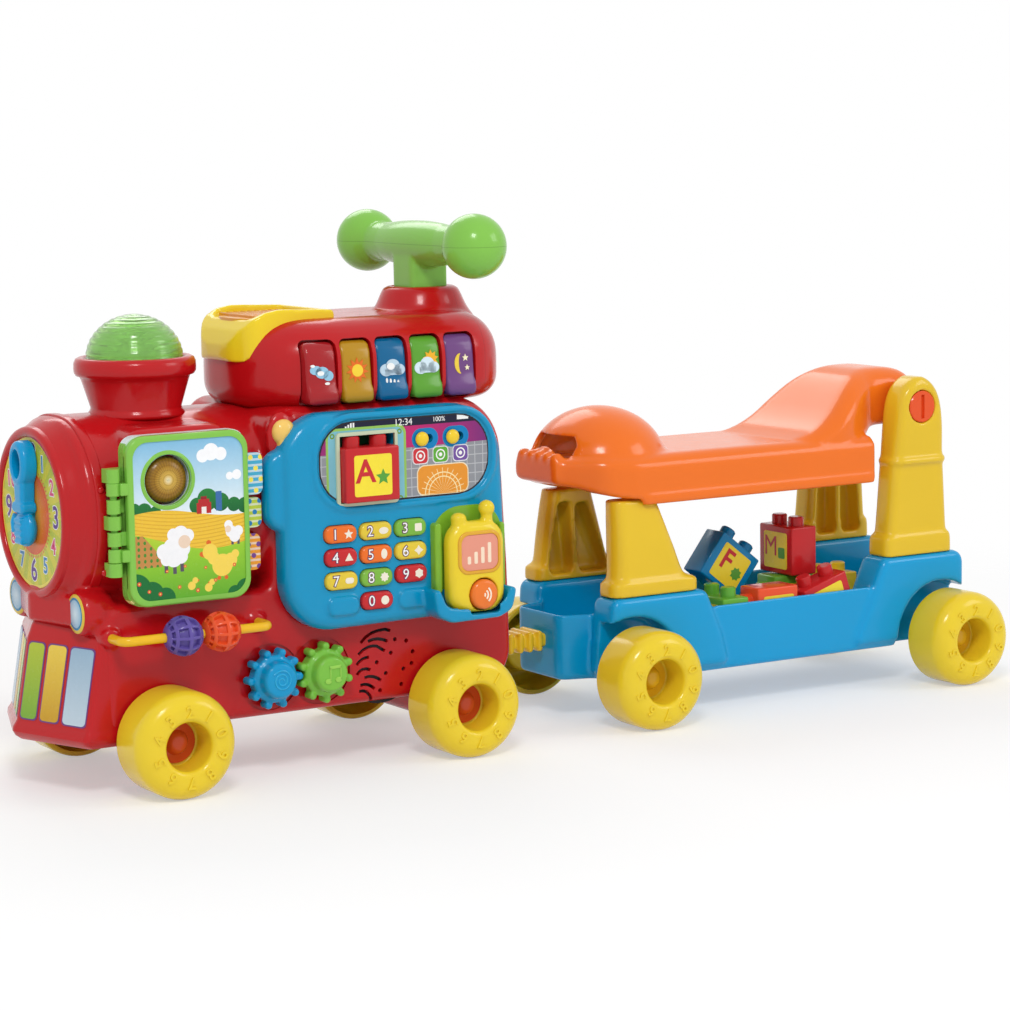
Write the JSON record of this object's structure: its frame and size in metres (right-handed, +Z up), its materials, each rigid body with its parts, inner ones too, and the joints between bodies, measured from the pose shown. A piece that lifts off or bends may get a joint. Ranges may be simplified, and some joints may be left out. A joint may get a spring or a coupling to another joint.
{
  "type": "ride-on train",
  "caption": "Moulded ride-on activity train: locomotive with handlebar, panel, phone, book, beads, gears and hopper, towing a block wagon whose seat flips up on rear legs.",
  "frame": {"origin": "on the floor under the middle of the train's box", "axes": "+X from the cowcatcher back to the wagon, -Y towards the activity side, +Z up"},
  "size_m": [0.862, 0.2388, 0.414],
  "materials": {
    "red": "smooth moulded",
    "orange": "smooth moulded",
    "yellow": "smooth moulded",
    "green": "smooth moulded",
    "blue": "smooth moulded",
    "purple": "smooth moulded",
    "teal": "smooth moulded",
    "dark": "matte moulded",
    "steel": "drawn rod",
    "board": "matte moulded",
    "amber": "translucent moulded",
    "dome": "translucent moulded"
  },
  "bodies": {
    "locomotive": {"shell_near": "red", "shell_far": "red", "cowcatcher": "red", "chimney": "red", "chimney_dome": "dome", "roof": "red", "chute": "yellow", "handle": "green", "bead_rod": "yellow", "book_base": "orange", "book_lens": "amber", "panel": "blue", "speaker": "dark", "circuit_board": "board", "battery_pack": "dark", "battery_door": "red", "loco_axles": "steel"},
    "wagon": {"wagon_tray": "blue", "wagon_legs": "yellow", "seat_pins": "orange", "tow_bar": "yellow", "wagon_axles": "steel"},
    "loco_wheel_front_near": {"loco_wheel_front_near": "yellow"},
    "loco_wheel_front_far": {"loco_wheel_front_far": "yellow"},
    "loco_wheel_rear_near": {"loco_wheel_rear_near": "yellow"},
    "loco_wheel_rear_far": {"loco_wheel_rear_far": "yellow"},
    "clock_hand": {"clock_hand": "blue"},
    "bead_purple": {"bead_purple": "purple"},
    "bead_orange": {"bead_orange": "orange"},
    "book_cover": {"book_cover": "green"},
    "book_page_star": {"book_page_star": "blue"},
    "book_page_dot": {"book_page_dot": "green"},
    "gear_blue": {"gear_blue": "blue"},
    "gear_green": {"gear_green": "green"},
    "key_0": {"key_0": "red"},
    "key_1": {"key_1": "orange"},
    "key_2": {"key_2": "yellow"},
    "key_3": {"key_3": "green"},
    "key_4": {"key_4": "red"},
    "key_5": {"key_5": "orange"},
    "key_6": {"key_6": "yellow"},
    "key_7": {"key_7": "yellow"},
    "key_8": {"key_8": "green"},
    "key_9": {"key_9": "red"},
    "volume_switch": {"volume_switch": "yellow"},
    "mode_switch": {"mode_switch": "yellow"},
    "phone": {"phone": "yellow"},
    "phone_button": {"phone_button": "orange"},
    "slot_block": {"slot_block": "red"},
    "piano_key_1": {"piano_key_1": "red"},
    "piano_key_2": {"piano_key_2": "yellow"},
    "piano_key_3": {"piano_key_3": "teal"},
    "piano_key_4": {"piano_key_4": "green"},
    "piano_key_5": {"piano_key_5": "purple"},
    "seat": {"seat": "orange"},
    "wagon_wheel_front_near": {"wagon_wheel_front_near": "yellow"},
    "wagon_wheel_front_far": {"wagon_wheel_front_far": "yellow"},
    "wagon_wheel_rear_near": {"wagon_wheel_rear_near": "yellow"},
    "wagon_wheel_rear_far": {"wagon_wheel_rear_far": "yellow"},
    "loose_blocks": {"loose_blocks": "red"}
  },
  "joints": [
    {"name": "hitch_yaw", "type": "hinge", "parent": "locomotive", "child": "wagon", "pos_m": [-0.066, 0, 0.06], "axis": [0, 0, 1], "range_deg": [-28, 28]},
    {"name": "loco_wheel_front_near_spin", "type": "hinge", "parent": "locomotive", "child": "loco_wheel_front_near", "pos_m": [-0.343, -0.0974, 0.04], "axis": [0, 1, 0], "continuous": true},
    {"name": "loco_wheel_front_far_spin", "type": "hinge", "parent": "locomotive", "child": "loco_wheel_front_far", "pos_m": [-0.343, 0.0974, 0.04], "axis": [0, 1, 0], "continuous": true},
    {"name": "loco_wheel_rear_near_spin", "type": "hinge", "parent": "locomotive", "child": "loco_wheel_rear_near", "pos_m": [-0.099, -0.0974, 0.04], "axis": [0, 1, 0], "continuous": true},
    {"name": "loco_wheel_rear_far_spin", "type": "hinge", "parent": "locomotive", "child": "loco_wheel_rear_far", "pos_m": [-0.099, 0.0974, 0.04], "axis": [0, 1, 0], "continuous": true},
    {"name": "wagon_wheel_front_near_spin", "type": "hinge", "parent": "wagon", "child": "wagon_wheel_front_near", "pos_m": [0.074, -0.0974, 0.04], "axis": [0, 1, 0], "continuous": true},
    {"name": "wagon_wheel_front_far_spin", "type": "hinge", "parent": "wagon", "child": "wagon_wheel_front_far", "pos_m": [0.074, 0.0974, 0.04], "axis": [0, 1, 0], "continuous": true},
    {"name": "wagon_wheel_rear_near_spin", "type": "hinge", "parent": "wagon", "child": "wagon_wheel_rear_near", "pos_m": [0.391, -0.0974, 0.04], "axis": [0, 1, 0], "continuous": true},
    {"name": "wagon_wheel_rear_far_spin", "type": "hinge", "parent": "wagon", "child": "wagon_wheel_rear_far", "pos_m": [0.391, 0.0974, 0.04], "axis": [0, 1, 0], "continuous": true},
    {"name": "clock_hand_turn", "type": "hinge", "parent": "locomotive", "child": "clock_hand", "pos_m": [-0.409, 0, 0.204], "axis": [-1, 0, 0], "continuous": true},
    {"name": "book_open", "type": "hinge", "parent": "locomotive", "child": "book_cover", "pos_m": [-0.3805, -0.08085, 0.2], "axis": [0, 0, -1], "range_deg": [0, 150]},
    {"name": "star_page_turn", "type": "hinge", "parent": "locomotive", "child": "book_page_star", "pos_m": [-0.3805, -0.08085, 0.2], "axis": [0, 0, -1], "range_deg": [0, 100]},
    {"name": "dot_page_turn", "type": "hinge", "parent": "locomotive", "child": "book_page_dot", "pos_m": [-0.3805, -0.08085, 0.2], "axis": [0, 0, -1], "range_deg": [0, 52]},
    {"name": "bead_purple_slide", "type": "slide", "parent": "locomotive", "child": "bead_purple", "axis": [-1, 0, 0], "range_m": [0, 0.027]},
    {"name": "bead_orange_slide", "type": "slide", "parent": "locomotive", "child": "bead_orange", "axis": [1, 0, 0], "range_m": [0, 0.02]},
    {"name": "gear_blue_spin", "type": "hinge", "parent": "locomotive", "child": "gear_blue", "pos_m": [-0.255, -0.08, 0.075], "axis": [0, 1, 0], "continuous": true},
    {"name": "gear_green_spin", "type": "hinge", "parent": "locomotive", "child": "gear_green", "pos_m": [-0.212, -0.08, 0.075], "axis": [0, 1, 0], "continuous": true},
    {"name": "key_0_press", "type": "slide", "parent": "locomotive", "child": "key_0", "axis": [0, 1, 0], "range_m": [0, 0.002], "stiffness_N_per_m": 200, "springref_m": -0.005},
    {"name": "key_1_press", "type": "slide", "parent": "locomotive", "child": "key_1", "axis": [0, 1, 0], "range_m": [0, 0.002], "stiffness_N_per_m": 200, "springref_m": -0.005},
    {"name": "key_2_press", "type": "slide", "parent": "locomotive", "child": "key_2", "axis": [0, 1, 0], "range_m": [0, 0.002], "stiffness_N_per_m": 200, "springref_m": -0.005},
    {"name": "key_3_press", "type": "slide", "parent": "locomotive", "child": "key_3", "axis": [0, 1, 0], "range_m": [0, 0.002], "stiffness_N_per_m": 200, "springref_m": -0.005},
    {"name": "key_4_press", "type": "slide", "parent": "locomotive", "child": "key_4", "axis": [0, 1, 0], "range_m": [0, 0.002], "stiffness_N_per_m": 200, "springref_m": -0.005},
    {"name": "key_5_press", "type": "slide", "parent": "locomotive", "child": "key_5", "axis": [0, 1, 0], "range_m": [0, 0.002], "stiffness_N_per_m": 200, "springref_m": -0.005},
    {"name": "key_6_press", "type": "slide", "parent": "locomotive", "child": "key_6", "axis": [0, 1, 0], "range_m": [0, 0.002], "stiffness_N_per_m": 200, "springref_m": -0.005},
    {"name": "key_7_press", "type": "slide", "parent": "locomotive", "child": "key_7", "axis": [0, 1, 0], "range_m": [0, 0.002], "stiffness_N_per_m": 200, "springref_m": -0.005},
    {"name": "key_8_press", "type": "slide", "parent": "locomotive", "child": "key_8", "axis": [0, 1, 0], "range_m": [0, 0.002], "stiffness_N_per_m": 200, "springref_m": -0.005},
    {"name": "key_9_press", "type": "slide", "parent": "locomotive", "child": "key_9", "axis": [0, 1, 0], "range_m": [0, 0.002], "stiffness_N_per_m": 200, "springref_m": -0.005},
    {"name": "volume_switch_slide", "type": "slide", "parent": "locomotive", "child": "volume_switch", "axis": [1, 0, 0], "range_m": [0, 0.007]},
    {"name": "mode_switch_slide", "type": "slide", "parent": "locomotive", "child": "mode_switch", "axis": [1, 0, 0], "range_m": [0, 0.007]},
    {"name": "phone_lift", "type": "slide", "parent": "locomotive", "child": "phone", "axis": [0, 0, 1], "range_m": [0, 0.05]},
    {"name": "phone_button_press", "type": "slide", "parent": "phone", "child": "phone_button", "axis": [0, 1, 0], "range_m": [0, 0.002], "stiffness_N_per_m": 200, "springref_m": -0.005},
    {"name": "slot_block_pull", "type": "slide", "parent": "locomotive", "child": "slot_block", "axis": [0, -1, 0], "range_m": [0, 0.03]},
    {"name": "piano_key_1_press", "type": "hinge", "parent": "locomotive", "child": "piano_key_1", "pos_m": [-0.206, -0.068, 0.316], "axis": [1, 0, 0], "range_deg": [0, 4], "stiffness_Nm_per_rad": 0.05, "springref_deg": -11.46},
    {"name": "piano_key_2_press", "type": "hinge", "parent": "locomotive", "child": "piano_key_2", "pos_m": [-0.176, -0.068, 0.316], "axis": [1, 0, 0], "range_deg": [0, 4], "stiffness_Nm_per_rad": 0.05, "springref_deg": -11.46},
    {"name": "piano_key_3_press", "type": "hinge", "parent": "locomotive", "child": "piano_key_3", "pos_m": [-0.146, -0.068, 0.316], "axis": [1, 0, 0], "range_deg": [0, 4], "stiffness_Nm_per_rad": 0.05, "springref_deg": -11.46},
    {"name": "piano_key_4_press", "type": "hinge", "parent": "locomotive", "child": "piano_key_4", "pos_m": [-0.116, -0.068, 0.316], "axis": [1, 0, 0], "range_deg": [0, 4], "stiffness_Nm_per_rad": 0.05, "springref_deg": -11.46},
    {"name": "piano_key_5_press", "type": "hinge", "parent": "locomotive", "child": "piano_key_5", "pos_m": [-0.086, -0.068, 0.316], "axis": [1, 0, 0], "range_deg": [0, 4], "stiffness_Nm_per_rad": 0.05, "springref_deg": -11.46},
    {"name": "seat_flip", "type": "hinge", "parent": "wagon", "child": "seat", "pos_m": [0.372, 0, 0.236], "axis": [0, 1, 0], "range_deg": [0, 100]},
    {"name": "loose_blocks_lift", "type": "slide", "parent": "wagon", "child": "loose_blocks", "axis": [0, 0, 1], "range_m": [0, 0.03]}
  ],
  "couplings": [
    {"joint": "star_page_turn", "follows": "book_open", "ratio": 0.66},
    {"joint": "dot_page_turn", "follows": "book_open", "ratio": 0.33},
    {"joint": "gear_green_spin", "follows": "gear_blue_spin", "ratio": -1}
  ]
}
